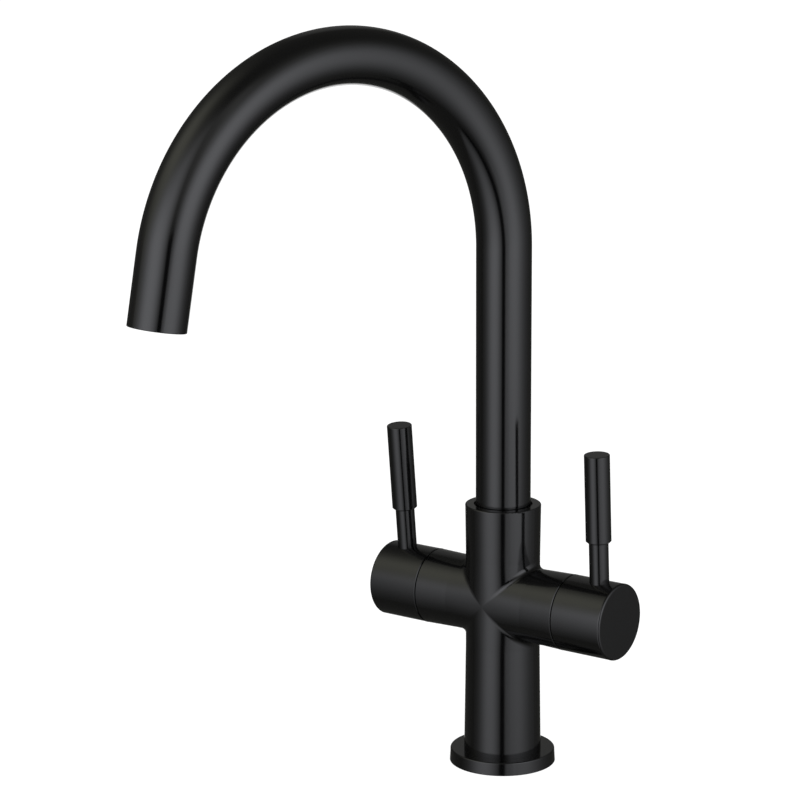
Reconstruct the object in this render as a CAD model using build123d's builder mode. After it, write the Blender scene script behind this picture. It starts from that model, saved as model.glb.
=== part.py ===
from build123d import *
import os
from math import ceil, cos, hypot, radians, sin, sqrt

# Two-handle vessel faucet: a cast column with two arms, a quarter-turn ceramic valve in
# each arm, and a tall bent spout that swivels in the collar on top of the column.
# Millimetres, +Z up. The origin is the centre of the underside, on the column's axis.
# The arms lie along X, hot on -X and cold on +X, and the user stands at -Y.
# "Reach" is the distance from the column's axis along an arm. "Radius" is measured from
# the axis of whatever is being turned: the column, an arm, a lever or the spout's outlet.

# Driving dimensions of the spout
tube_radius = 13.0
tube_wall = 1.2
bend_height = 249.5
bend_radius = 94.8
bend_angle = 169.6
tail_length = 32.0
swivel_angle = 14.6

# Driving dimensions of the column and base ring
collar_top = 126.8
collar_radius = 18.0
column_waist_radius = 17.65
column_foot_radius = 18.4
spigot_radius = 16.0
base_ring_radius = 25.3
base_ring_height = 6.3

# Driving dimensions of the arms and handles
arm_height = 79.9
hub_radius = 18.1
seam_reach = 38.9
hub_end_reach = 66.0
lever_reach = 55.0
lever_length = 79.3
grip_start = 37.4
grip_radius = 6.0
stem_radius = 4.6
left_lean = 5.8
right_lean = 3.1

# Driving dimensions of the valves and the supply
seat_reach = 15.0
valve_thread_radius = 10.3
disc_radius = 7.8
hex_across_flats = 22.0
supply_spacing = 15.6
supply_thread_radius = 4.5
stud_thread_radius = 3.4

# Fits: a turning fit, a loose one, the seam between arm and hub, and how far a cut runs past
running_gap = 0.05
free_gap = 0.1
seam_gap = 0.5
overshoot = 1.0

# Roundings and broken edges
casting_fillet = 3.0
rim_rounding = 0.6
seam_chamfer = 0.3
hub_rounding = 1.1

# Sizes that follow. The arms' roots are as thick as the column's waist, so that the seams
# of the crossing meet at the front and at the back.
bore_radius = tube_radius - tube_wall
arm_root_radius = column_waist_radius
arm_end_reach = seam_reach - seam_gap / 2
hub_start_reach = seam_reach + seam_gap / 2
fillet_room = 1.2 * casting_fillet
plain_reach = column_waist_radius + fillet_room
sides = {"left": -1, "right": 1}
leans = {"left": left_lean, "right": right_lean}

os.makedirs("parts", exist_ok=True)


def save(piece, name):
    """Labels a finished piece with its plain name and writes it."""
    piece.part.label = name
    export_step(piece.part, f"parts/{name}.step")


# Planes and axes

back_plane = Plane(origin=(0, 0, 0), x_dir=(1, 0, 0), z_dir=(0, 1, 0))


def arm_axis(side):
    return Axis((0, 0, arm_height), (side, 0, 0))


def arm_section(side):
    """The plane of an arm's turned outlines: x is the reach and y is the radius."""
    return Plane(origin=(0, 0, arm_height), x_dir=(side, 0, 0), z_dir=(0, -side, 0))


def across_arm(side, reach):
    """The plane square to an arm: x is up, and side times y is towards the user."""
    return Plane(origin=(side * reach, 0, arm_height), x_dir=(0, 0, 1), z_dir=(side, 0, 0))


def lever_direction(lean):
    """Along the lever: upright, but for a lean of a few degrees towards the user."""
    return Vector(0, -sin(radians(lean)), cos(radians(lean)))


def lever_axis(side, lean):
    return Axis((side * lever_reach, 0, arm_height), lever_direction(lean))


def lever_section(side, lean):
    """The plane of a lever's turned outlines: x is the radius and y is the distance out."""
    facing = Vector(1, 0, 0).cross(lever_direction(lean))
    return Plane(origin=(side * lever_reach, 0, arm_height), x_dir=(1, 0, 0), z_dir=facing)


def across_lever(side, lean, distance):
    """The plane square to a lever, at a distance from the arm's axis."""
    middle = Vector(side * lever_reach, 0, arm_height)
    direction = lever_direction(lean)
    return Plane(origin=middle + direction * distance, x_dir=(1, 0, 0), z_dir=direction)


# Body casting

# Spout bore, from the top down: the bush, the spigot's ledge and the mixing chamber
bush_thickness = 0.9
bush_radius = tube_radius + bush_thickness
ledge_height = 112.0
spout_bore_radius = 11.5
chamber_floor = 95.0

# Valve bore, from the seat outwards
seat_hole_start = 5.0
seat_hole_radius = 4.6
valve_chamber_radius = 11.0
valve_chamber_end = 26.5
head_recess_radius = 13.4
head_recess_reach = 37.5
seam_ring_inner_radius = 14.6
seam_ring_outer_radius = 17.2
seam_ring_depth = 1.2

# Supply bores from below, and the ways that join them to the valves and the spout
supply_setback = 3.0
supply_thread_depth = 12.0
supply_way_radius = 4.0
supply_way_lap = 1.5
supply_way_top = arm_height + supply_way_lap
supply_places = [(side * supply_spacing / 2, supply_setback) for side in sides.values()]
stud_setback = -8.0
stud_thread_depth = 18.0
outlet_way_radius = 3.5
outlet_way_low = (22.0, 89.0)
outlet_way_high = (8.0, 98.0)

# Tapped hole for the lock screw, at the back of the collar
lock_height = 108.0
lock_thread_radius = 2.0

with BuildPart() as body_casting:
    # Column, tapering a little from its foot and from its collar to the arms
    with BuildSketch(Plane.XZ):
        with BuildLine():
            Polyline(
                (0, 0),
                (spigot_radius, 0),
                (spigot_radius, base_ring_height),
                (column_foot_radius, base_ring_height),
                (column_waist_radius, arm_height - plain_reach),
                (column_waist_radius, arm_height + plain_reach),
                (collar_radius, collar_top),
                (0, collar_top),
                close=True,
            )
        make_face()
    revolve(axis=Axis.Z)

    # Arms, flaring a little from the column to the seams
    for side in sides.values():
        with BuildSketch(arm_section(side)):
            with BuildLine():
                Polyline(
                    (0, 0),
                    (0, arm_root_radius),
                    (plain_reach, arm_root_radius),
                    (arm_end_reach, hub_radius),
                    (arm_end_reach, 0),
                    close=True,
                )
            make_face()
        revolve(axis=arm_axis(side))

    # Rolling fillets where the arms run into the column
    fillet(body_casting.edges().filter_by(GeomType.ELLIPSE), casting_fillet)

    # Broken edges on the collar and on both arm ends
    rims = body_casting.edges().filter_by(GeomType.CIRCLE)
    fillet(rims.sort_by(Axis.Z)[-1], rim_rounding)
    arm_ends = body_casting.edges().filter_by(GeomType.CIRCLE).sort_by(Axis.X)
    chamfer([arm_ends[0], arm_ends[-1]], seam_chamfer)

    # Spout bore
    with BuildSketch(Plane.XZ):
        with BuildLine():
            Polyline(
                (0, chamber_floor),
                (spout_bore_radius, chamber_floor),
                (spout_bore_radius, ledge_height),
                (bush_radius, ledge_height),
                (bush_radius, collar_top + overshoot),
                (0, collar_top + overshoot),
                close=True,
            )
        make_face()
    revolve(axis=Axis.Z, mode=Mode.SUBTRACT)

    # Valve bores, and the grooves for the seam rings
    for side in sides.values():
        with BuildSketch(arm_section(side)):
            with BuildLine():
                Polyline(
                    (seat_hole_start, 0),
                    (seat_hole_start, seat_hole_radius),
                    (seat_reach, seat_hole_radius),
                    (seat_reach, valve_chamber_radius),
                    (valve_chamber_end, valve_chamber_radius),
                    (valve_chamber_end, valve_thread_radius),
                    (head_recess_reach, valve_thread_radius),
                    (head_recess_reach, head_recess_radius),
                    (arm_end_reach + overshoot, head_recess_radius),
                    (arm_end_reach + overshoot, 0),
                    close=True,
                )
            make_face()
        revolve(axis=arm_axis(side), mode=Mode.SUBTRACT)
        with BuildSketch(across_arm(side, arm_end_reach)):
            Circle(seam_ring_outer_radius)
            Circle(seam_ring_inner_radius, mode=Mode.SUBTRACT)
        extrude(amount=-seam_ring_depth, mode=Mode.SUBTRACT)

    # Supply threads and the ways above them
    with BuildSketch(Plane.XY):
        with Locations(*supply_places):
            Circle(supply_thread_radius)
    extrude(amount=supply_thread_depth, mode=Mode.SUBTRACT)
    with BuildSketch(Plane.XY):
        with Locations(*supply_places):
            Circle(supply_way_radius)
    extrude(amount=supply_way_top, mode=Mode.SUBTRACT)

    # Fixing stud's thread
    with BuildSketch(Plane.XY):
        with Locations((0, stud_setback)):
            Circle(stud_thread_radius)
    extrude(amount=stud_thread_depth, mode=Mode.SUBTRACT)

    # Slanted ways from the valve chambers up to the mixing chamber
    for side in sides.values():
        low = Vector(side * outlet_way_low[0], 0, outlet_way_low[1])
        high = Vector(side * outlet_way_high[0], 0, outlet_way_high[1])
        with BuildSketch(Plane(origin=low, z_dir=high - low)):
            Circle(outlet_way_radius)
        extrude(amount=(high - low).length, mode=Mode.SUBTRACT)

    # Lock screw's thread
    with BuildSketch(back_plane.offset(spout_bore_radius - overshoot)):
        with Locations((0, -lock_height)):
            Circle(lock_thread_radius)
    extrude(amount=collar_radius - spout_bore_radius + 2 * overshoot, mode=Mode.SUBTRACT)
save(body_casting, "body_casting")


# Base ring and its gasket, trapped between the column's shoulder and the worktop

gasket_inner_radius = 19.8
gasket_outer_radius = 23.2
gasket_depth = 1.8
base_ring_draft = 0.35

with BuildPart() as base_ring:
    with BuildSketch(Plane.XZ):
        with BuildLine():
            Polyline(
                (spigot_radius + free_gap, 0),
                (gasket_inner_radius, 0),
                (gasket_inner_radius, gasket_depth),
                (gasket_outer_radius, gasket_depth),
                (gasket_outer_radius, 0),
                (base_ring_radius, 0),
                (base_ring_radius - base_ring_draft, base_ring_height),
                (spigot_radius + free_gap, base_ring_height),
                close=True,
            )
        make_face()
    revolve(axis=Axis.Z)
    top_edges = base_ring.edges().group_by(Axis.Z)[-1]
    fillet(top_edges.sort_by(SortBy.RADIUS)[-1], rim_rounding)
save(base_ring, "base_ring")

with BuildPart() as base_gasket:
    with BuildSketch(Plane.XY):
        Circle(gasket_outer_radius)
        Circle(gasket_inner_radius, mode=Mode.SUBTRACT)
    extrude(amount=gasket_depth)
save(base_gasket, "base_gasket")


# Spout tube, in its own upright plane: x runs out from the column and y is the height

spout_foot = 114.0
outlet_rounding = 0.3
swivel = radians(swivel_angle)
spout_direction = Vector(-sin(swivel), -cos(swivel), 0)
spout_plane = Plane(
    origin=(0, 0, 0),
    x_dir=spout_direction,
    z_dir=spout_direction.cross(Vector(0, 0, 1)),
)

with BuildLine(spout_plane) as spout_path:
    Line((0, spout_foot), (0, bend_height))
    swan_neck = CenterArc((bend_radius, bend_height), bend_radius, 180, -bend_angle)
    Line(swan_neck @ 1, swan_neck @ 1 + tail_length * (swan_neck % 1))

# The outlet's axis, and the plane of its turned outlines: x is the radius and y is the
# distance up into the tube
outlet_centre = spout_path.line @ 1
outlet_inward = -(swan_neck % 1)
outlet_axis = Axis(outlet_centre, outlet_inward)
outlet_section = Plane(
    origin=outlet_centre,
    x_dir=spout_plane.z_dir,
    z_dir=spout_plane.z_dir.cross(outlet_inward),
)


def across_outlet(distance):
    """The plane square to the outlet, at a distance up into the tube."""
    return Plane(
        origin=outlet_centre + outlet_inward * distance,
        x_dir=spout_plane.z_dir,
        z_dir=outlet_inward,
    )


with BuildPart() as spout_tube:
    with BuildSketch(Plane.XY.offset(spout_foot)):
        Circle(tube_radius)
        Circle(bore_radius, mode=Mode.SUBTRACT)
    sweep(path=spout_path.line)
    outlet_edges = spout_tube.edges().filter_by(GeomType.CIRCLE).group_by(outlet_axis)[0]
    fillet(outlet_edges.sort_by(SortBy.RADIUS)[-1], outlet_rounding)
save(spout_tube, "spout_tube")


# Spout spigot, brazed into the tube's foot, with the rings it turns on

o_ring_sides = 8


def o_ring_section(section_radius):
    """A seal's section in the current sketch, flat where groove and bore squeeze it."""
    RegularPolygon(section_radius, o_ring_sides, major_radius=False, rotation=180 / o_ring_sides)


spigot_foot = 96.5
spigot_barrel_radius = spout_bore_radius - running_gap
spigot_bore_radius = 8.0
spigot_lap = 10.0
spigot_top = spout_foot + spigot_lap
glide_ring_thickness = 0.8
flange_height = ledge_height + glide_ring_thickness + running_gap
lock_groove_radius = 10.2
lock_groove_width = 4.4
spout_ring_heights = (99.7, 103.3)
spout_ring_groove_radius = 9.7
spout_ring_groove_width = 2.2
spout_ring_section = (spout_bore_radius - spout_ring_groove_radius) / 2 - running_gap
spout_ring_middle = (spout_bore_radius + spout_ring_groove_radius) / 2

with BuildPart() as spout_spigot:
    with BuildSketch(Plane.XZ):
        with BuildLine():
            Polyline(
                (spigot_bore_radius, spigot_foot),
                (spigot_barrel_radius, spigot_foot),
                (spigot_barrel_radius, flange_height),
                (tube_radius, flange_height),
                (tube_radius, spout_foot),
                (bore_radius, spout_foot),
                (bore_radius, spigot_top),
                (spigot_bore_radius, spigot_top),
                close=True,
            )
        make_face()
    revolve(axis=Axis.Z)
    for ring_height in spout_ring_heights:
        with BuildSketch(Plane.XY.offset(ring_height - spout_ring_groove_width / 2)):
            Circle(spout_bore_radius)
            Circle(spout_ring_groove_radius, mode=Mode.SUBTRACT)
        extrude(amount=spout_ring_groove_width, mode=Mode.SUBTRACT)
    with BuildSketch(Plane.XY.offset(lock_height - lock_groove_width / 2)):
        Circle(spout_bore_radius)
        Circle(lock_groove_radius, mode=Mode.SUBTRACT)
    extrude(amount=lock_groove_width, mode=Mode.SUBTRACT)
save(spout_spigot, "spout_spigot")

with BuildPart() as spout_o_rings:
    with BuildSketch(Plane.XZ):
        with Locations(*[(spout_ring_middle, ring_height) for ring_height in spout_ring_heights]):
            o_ring_section(spout_ring_section)
    revolve(axis=Axis.Z)
save(spout_o_rings, "spout_o_rings")

with BuildPart() as spout_glide_ring:
    with BuildSketch(Plane.XY.offset(ledge_height)):
        Circle(bush_radius - free_gap)
        Circle(spout_bore_radius + free_gap, mode=Mode.SUBTRACT)
    extrude(amount=glide_ring_thickness)
save(spout_glide_ring, "spout_glide_ring")


# Collar bush, a thin sleeve pressed in under the collar's rim to guide the tube

bush_foot = 115.5
bush_depth = 1.0
bush_top = collar_top - bush_depth

with BuildPart() as collar_bush:
    with BuildSketch(Plane.XY.offset(bush_foot)):
        Circle(bush_radius)
        Circle(tube_radius + running_gap, mode=Mode.SUBTRACT)
    extrude(amount=bush_top - bush_foot)
save(collar_bush, "collar_bush")


# Lock screw, whose tip stands in the spigot's groove and keeps the spout down

lock_tip_start = 10.6
lock_tip_radius = 1.3
lock_tip_length = 1.0
lock_screw_length = 6.0
lock_socket_across = 2.0
lock_socket_depth = 2.0

with BuildPart() as spout_lock_screw:
    with BuildSketch(back_plane.offset(lock_tip_start)):
        with Locations((0, -lock_height)):
            Circle(lock_tip_radius)
    extrude(amount=lock_tip_length)
    with BuildSketch(back_plane.offset(lock_tip_start + lock_tip_length)):
        with Locations((0, -lock_height)):
            Circle(lock_thread_radius)
    extrude(amount=lock_screw_length - lock_tip_length)
    with BuildSketch(back_plane.offset(lock_tip_start + lock_screw_length)):
        with Locations((0, -lock_height)):
            RegularPolygon(lock_socket_across / 2, 6, major_radius=False)
    extrude(amount=-lock_socket_depth, mode=Mode.SUBTRACT)
save(spout_lock_screw, "spout_lock_screw")


# Outlet: a threaded insert in the tube's end, and the aerator that screws up into it

insert_start = 0.8
insert_end = 13.0
insert_lip_start = 11.8
insert_lip_radius = 9.0
aerator_thread_radius = 10.6
aerator_radius = aerator_thread_radius - running_gap
aerator_start = 1.6
aerator_end = 10.3
aerator_bore_radius = 9.3
key_notch_count = 4
key_notch_width = 2.0
key_notch_depth = 0.8
grid_start = 2.0
grid_thickness = 3.0
grid_pitch = 2.7
grid_hole_across = 2.1
strainer_start = 8.4
strainer_thickness = 0.8
strainer_slot = (3.0, 0.9)
strainer_slot_rings = ((3.6, 8), (7.0, 16))

with BuildPart() as outlet_insert:
    with BuildSketch(outlet_section):
        with BuildLine():
            Polyline(
                (aerator_thread_radius, insert_start),
                (bore_radius, insert_start),
                (bore_radius, insert_end),
                (insert_lip_radius, insert_end),
                (insert_lip_radius, insert_lip_start),
                (aerator_thread_radius, insert_lip_start),
                close=True,
            )
        make_face()
    revolve(axis=outlet_axis)
save(outlet_insert, "outlet_insert")

with BuildPart() as aerator_seal:
    with BuildSketch(across_outlet(aerator_end)):
        Circle(aerator_radius)
        Circle(insert_lip_radius, mode=Mode.SUBTRACT)
    extrude(amount=insert_lip_start - aerator_end)
save(aerator_seal, "aerator_seal")

with BuildPart() as aerator_housing:
    with BuildSketch(across_outlet(aerator_start)):
        Circle(aerator_radius)
        Circle(aerator_bore_radius, mode=Mode.SUBTRACT)
    extrude(amount=aerator_end - aerator_start)
    with BuildSketch(across_outlet(aerator_start)):
        with PolarLocations(aerator_radius, key_notch_count):
            Rectangle(aerator_radius, key_notch_width)
    extrude(amount=key_notch_depth, mode=Mode.SUBTRACT)
save(aerator_housing, "aerator_housing")


def grid_places():
    """Centres of a honeycomb that fits inside the aerator's bore."""
    furthest = ceil(aerator_bore_radius / grid_pitch)
    steps = range(-furthest, furthest + 1)
    places = [(grid_pitch * (i + j / 2), grid_pitch * j * sqrt(3) / 2) for i in steps for j in steps]
    return [place for place in places if hypot(*place) < aerator_bore_radius - grid_pitch / 2]


with BuildPart() as aerator_grid:
    with BuildSketch(across_outlet(grid_start)):
        Circle(aerator_bore_radius)
        with Locations(*grid_places()):
            RegularPolygon(grid_hole_across / 2, 6, False, rotation=30, mode=Mode.SUBTRACT)
    extrude(amount=grid_thickness)
save(aerator_grid, "aerator_grid")

with BuildPart() as aerator_strainer:
    with BuildSketch(across_outlet(strainer_start)):
        Circle(aerator_bore_radius)
        for slot_ring_radius, slot_count in strainer_slot_rings:
            with PolarLocations(slot_ring_radius, slot_count):
                Rectangle(*strainer_slot, mode=Mode.SUBTRACT)
    extrude(amount=strainer_thickness)
save(aerator_strainer, "aerator_strainer")


# Valve stack in each arm, from the seat outwards

seal_thickness = 2.0
fixed_disc_thickness = 3.5
moving_disc_thickness = 3.0
fixed_disc_reach = seat_reach + seal_thickness
moving_disc_reach = fixed_disc_reach + fixed_disc_thickness
disc_back_reach = moving_disc_reach + moving_disc_thickness
seat_seal_inner_radius = 6.7

# Kidney-shaped openings: wide enough to flow, narrow enough to shut at a quarter turn
opening_radius = 4.4
opening_width = 4.0
opening_arc = 28.0

# Cage round the discs
cage_stand_off = 1.0
cage_reach = seat_reach + cage_stand_off
cage_end_reach = 27.0
cage_radius = 9.0
cage_bore_radius = disc_radius + free_gap
ear_width = 2.3
ear_radius = 8.6
window_width = 6.0

# Stops inside the cage, which the spindle's foot swings between
foot_width = 3.0
stop_room = 0.3
stop_reach = disc_back_reach + stop_room
stop_bore_radius = 5.2

# Threaded head, its flange, hexagon and neck
flange_radius = 13.0
flange_thickness = 2.1
flange_end_reach = head_recess_reach + flange_thickness
hexagon_end_reach = 45.0
neck_end_reach = 48.5
neck_radius = 7.0
lip_start_reach = 46.0
shaft_bore_radius = 5.0
lip_bore_radius = 4.2
head_ring_groove_radius = 8.8
head_ring_groove_width = 1.6
head_ring_section = (valve_thread_radius - head_ring_groove_radius) / 2 - running_gap / 2
head_ring_middle = (valve_thread_radius + head_ring_groove_radius) / 2

# Spindle
foot_overlap = 1.5
foot_half_length = 7.6
foot_boss_radius = 4.8
shaft_radius = shaft_bore_radius - running_gap
spindle_neck_radius = lip_bore_radius - running_gap
spindle_ring_reaches = (32.0, 37.0)
spindle_ring_groove_radius = 3.6
spindle_ring_groove_width = 2.0
spindle_ring_section = (shaft_bore_radius - spindle_ring_groove_radius) / 2 - running_gap
spindle_ring_middle = (shaft_bore_radius + spindle_ring_groove_radius) / 2
clip_room = 0.15
clip_reach = neck_end_reach + clip_room
clip_thickness = 0.8
clip_inner_radius = 3.5
clip_outer_radius = 5.6
clip_mouth = 5.0

# Splined end and the bush that carries the hub
spline_reach = 50.4
spline_end_reach = 60.4
spline_teeth = 20
spline_root_radius = 3.5
spline_tip_radius = 3.95
spline_root_share = 0.3
spline_flank_share = 0.12
bush_start_reach = 51.2
bush_end_reach = 60.8
spline_bush_radius = 5.5


def kidney_openings(*middles):
    """Cuts an arc-shaped opening in the current sketch at each angle from the plane's x."""
    for middle in middles:
        centre_line = CenterArc((0, 0), opening_radius, middle - opening_arc / 2, opening_arc)
        SlotArc(centre_line, opening_width, mode=Mode.SUBTRACT)


def spline_outline(clearance):
    """The toothed outline of the spindle's end, grown by a clearance."""
    tooth_angle = 360 / spline_teeth
    steps = (
        (0, spline_root_radius),
        (spline_root_share, spline_root_radius),
        (spline_root_share + spline_flank_share, spline_tip_radius),
        (1 - spline_flank_share, spline_tip_radius),
    )
    return [
        (
            (radius + clearance) * cos(radians((tooth + share) * tooth_angle)),
            (radius + clearance) * sin(radians((tooth + share) * tooth_angle)),
        )
        for tooth in range(spline_teeth)
        for share, radius in steps
    ]


def make_seat_seal(side):
    """Rubber ring between the seat and the fixed disc."""
    with BuildPart() as seat_seal:
        with BuildSketch(across_arm(side, seat_reach)):
            Circle(disc_radius)
            Circle(seat_seal_inner_radius, mode=Mode.SUBTRACT)
        extrude(amount=seal_thickness)
    return seat_seal


def make_fixed_disc(side):
    """Ceramic disc with openings above and below, held by two ears in the cage's slots."""
    with BuildPart() as fixed_disc:
        with BuildSketch(across_arm(side, fixed_disc_reach)):
            Circle(disc_radius)
            Rectangle(ear_width - free_gap, 2 * ear_radius)
            kidney_openings(0, 180)
        extrude(amount=fixed_disc_thickness)
    return fixed_disc


def make_moving_disc(side):
    """Ceramic disc that shuts the fixed one, and bares it after a quarter turn."""
    with BuildPart() as moving_disc:
        with BuildSketch(across_arm(side, moving_disc_reach)):
            Circle(disc_radius)
            kidney_openings(90, 270)
        extrude(amount=moving_disc_thickness)
        with BuildSketch(across_arm(side, disc_back_reach)):
            Rectangle(2 * disc_radius + overshoot, foot_width + 2 * free_gap)
        extrude(amount=-foot_overlap - free_gap, mode=Mode.SUBTRACT)
    return moving_disc


def make_headwork_body(side):
    """Brass valve body: cage, thread, flange, hexagon and neck, bored for the spindle."""
    with BuildPart() as headwork_body:
        with BuildSketch(arm_section(side)):
            with BuildLine():
                Polyline(
                    (cage_reach, cage_bore_radius),
                    (cage_reach, cage_radius),
                    (cage_end_reach, cage_radius),
                    (cage_end_reach, valve_thread_radius - running_gap),
                    (head_recess_reach - head_ring_groove_width, valve_thread_radius - running_gap),
                    (head_recess_reach - head_ring_groove_width, head_ring_groove_radius),
                    (head_recess_reach, head_ring_groove_radius),
                    (head_recess_reach, flange_radius),
                    (flange_end_reach, flange_radius),
                    (flange_end_reach, neck_radius),
                    (neck_end_reach, neck_radius),
                    (neck_end_reach, lip_bore_radius),
                    (lip_start_reach, lip_bore_radius),
                    (lip_start_reach, shaft_bore_radius),
                    (cage_end_reach, shaft_bore_radius),
                    (cage_end_reach, cage_bore_radius),
                    close=True,
                )
            make_face()
        revolve(axis=arm_axis(side))

        # Hexagon for the spanner
        with BuildSketch(across_arm(side, flange_end_reach)):
            RegularPolygon(hex_across_flats / 2, 6, major_radius=False)
            Circle(neck_radius - overshoot, mode=Mode.SUBTRACT)
        extrude(amount=hexagon_end_reach - flange_end_reach)

        # Stops in the two quarters that the spindle's foot doesn't sweep
        with BuildSketch(across_arm(side, stop_reach)):
            Circle((cage_radius + cage_bore_radius) / 2)
            Circle(stop_bore_radius, mode=Mode.SUBTRACT)
            Rectangle(2 * cage_radius, foot_width + 2 * free_gap, mode=Mode.SUBTRACT)
            Rectangle(foot_width + 2 * free_gap, 2 * cage_radius, mode=Mode.SUBTRACT)
            quarter = cage_radius / 2
            with Locations((quarter, side * quarter), (-quarter, -side * quarter)):
                Rectangle(cage_radius, cage_radius, mode=Mode.SUBTRACT)
        extrude(amount=cage_end_reach - stop_reach)

        # Slots for the fixed disc's ears
        with BuildSketch(across_arm(side, cage_reach)):
            Rectangle(ear_width, 2 * (cage_radius + overshoot))
        extrude(amount=moving_disc_reach - cage_reach, mode=Mode.SUBTRACT)

        # Windows that let the water out of the cage
        with BuildSketch(across_arm(side, disc_back_reach)):
            Rectangle(2 * (cage_radius + overshoot), window_width, rotation=45 * side)
        extrude(amount=cage_end_reach - disc_back_reach, mode=Mode.SUBTRACT)
    return headwork_body


def make_headwork_o_ring(side):
    """Seals the valve body under its flange."""
    with BuildPart() as headwork_o_ring:
        with BuildSketch(arm_section(side)):
            with Locations((head_recess_reach - head_ring_groove_width / 2, head_ring_middle)):
                o_ring_section(head_ring_section)
        revolve(axis=arm_axis(side))
    return headwork_o_ring


def make_spindle(side):
    """Brass spindle: a foot across the moving disc, a sealed shaft and a splined end."""
    with BuildPart() as spindle:
        with BuildSketch(arm_section(side)):
            with BuildLine():
                Polyline(
                    (disc_back_reach + free_gap, 0),
                    (disc_back_reach + free_gap, foot_boss_radius),
                    (cage_end_reach - free_gap, foot_boss_radius),
                    (cage_end_reach, shaft_radius),
                    (lip_start_reach - free_gap, shaft_radius),
                    (lip_start_reach - free_gap, spindle_neck_radius),
                    (spline_reach, spindle_neck_radius),
                    (spline_reach, 0),
                    close=True,
                )
            make_face()
        revolve(axis=arm_axis(side))

        # Foot, which drives the disc and swings between the cage's stops
        with BuildSketch(across_arm(side, disc_back_reach - foot_overlap)):
            Rectangle(2 * foot_half_length, foot_width)
        extrude(amount=foot_overlap + cage_end_reach - free_gap - disc_back_reach)

        # Grooves for the two O-rings and the clip
        for ring_reach in spindle_ring_reaches:
            with BuildSketch(across_arm(side, ring_reach - spindle_ring_groove_width / 2)):
                Circle(shaft_bore_radius)
                Circle(spindle_ring_groove_radius, mode=Mode.SUBTRACT)
            extrude(amount=spindle_ring_groove_width, mode=Mode.SUBTRACT)
        with BuildSketch(across_arm(side, clip_reach - free_gap)):
            Circle(shaft_bore_radius)
            Circle(clip_inner_radius, mode=Mode.SUBTRACT)
        extrude(amount=clip_thickness + 2 * free_gap, mode=Mode.SUBTRACT)

        # Splined end
        with BuildSketch(across_arm(side, spline_reach)):
            Polygon(*spline_outline(0), align=None)
        extrude(amount=spline_end_reach - spline_reach)
    return spindle


def make_spindle_o_rings(side):
    """The spindle's two seals."""
    with BuildPart() as spindle_o_rings:
        with BuildSketch(arm_section(side)):
            with Locations(*[(ring_reach, spindle_ring_middle) for ring_reach in spindle_ring_reaches]):
                o_ring_section(spindle_ring_section)
        revolve(axis=arm_axis(side))
    return spindle_o_rings


def make_spindle_clip(side):
    """Open spring ring that holds the spindle in the valve body."""
    with BuildPart() as spindle_clip:
        with BuildSketch(across_arm(side, clip_reach)):
            Circle(clip_outer_radius)
            Circle(clip_inner_radius, mode=Mode.SUBTRACT)
            with Locations((-clip_outer_radius, 0)):
                Rectangle(2 * clip_outer_radius, clip_mouth, mode=Mode.SUBTRACT)
        extrude(amount=clip_thickness)
    return spindle_clip


def make_spline_bush(side):
    """Toothed bush between the spindle's end and the hub's socket."""
    with BuildPart() as spline_bush:
        with BuildSketch(across_arm(side, bush_start_reach)):
            Circle(spline_bush_radius)
            Polygon(*spline_outline(running_gap), align=None, mode=Mode.SUBTRACT)
        extrude(amount=bush_end_reach - bush_start_reach)
    return spline_bush


def make_seam_ring(side):
    """Plastic ring in the arm's end that the hub turns against."""
    with BuildPart() as seam_ring:
        with BuildSketch(across_arm(side, arm_end_reach - seam_ring_depth)):
            Circle(seam_ring_outer_radius)
            Circle(seam_ring_inner_radius, mode=Mode.SUBTRACT)
        extrude(amount=seam_ring_depth + seam_gap - free_gap)
    return seam_ring


# Handles

hub_cavity_radius = 13.9
hub_cavity_end_reach = 51.0
hub_socket_end_reach = 61.0
lever_seat = 16.3
lever_thread_radius = 3.0
lever_thread_start = 7.5
lever_tang_end = 52.0
lever_tang_room = 0.4
hub_screw_radius = 2.5
hub_screw_length = 6.0
hub_screw_socket_across = 2.5
hub_screw_socket_depth = 2.5
grip_chamfer = 0.6
grip_rounding = 0.4


def make_hub(side, lean):
    """Cap of the handle: hollow over the valve's head, with a socket for the bush."""
    with BuildPart() as hub:
        with BuildSketch(arm_section(side)):
            with BuildLine():
                Polyline(
                    (hub_start_reach, hub_cavity_radius),
                    (hub_start_reach, hub_radius),
                    (hub_end_reach, hub_radius),
                    (hub_end_reach, 0),
                    (hub_socket_end_reach, 0),
                    (hub_socket_end_reach, spline_bush_radius),
                    (hub_cavity_end_reach, spline_bush_radius),
                    (hub_cavity_end_reach, hub_cavity_radius),
                    close=True,
                )
            make_face()
        revolve(axis=arm_axis(side))
        fillet(hub.edges().group_by(arm_axis(side))[-1], hub_rounding)
        seam_edges = hub.edges().group_by(arm_axis(side))[0]
        chamfer(seam_edges.sort_by(SortBy.RADIUS)[-1], seam_chamfer)

        # Spot face and thread for the lever
        with BuildSketch(across_lever(side, lean, lever_seat)):
            Circle(stem_radius + running_gap)
        extrude(amount=hub_radius - lever_seat + overshoot, mode=Mode.SUBTRACT)
        with BuildSketch(across_lever(side, lean, lever_seat)):
            Circle(lever_thread_radius)
        extrude(amount=spline_bush_radius - lever_seat - overshoot, mode=Mode.SUBTRACT)

        # Thread for the hub screw, on the underside
        with BuildSketch(across_lever(side, lean, overshoot - spline_bush_radius)):
            Circle(hub_screw_radius)
        extrude(amount=spline_bush_radius - hub_radius - 2 * overshoot, mode=Mode.SUBTRACT)
    return hub


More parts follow.
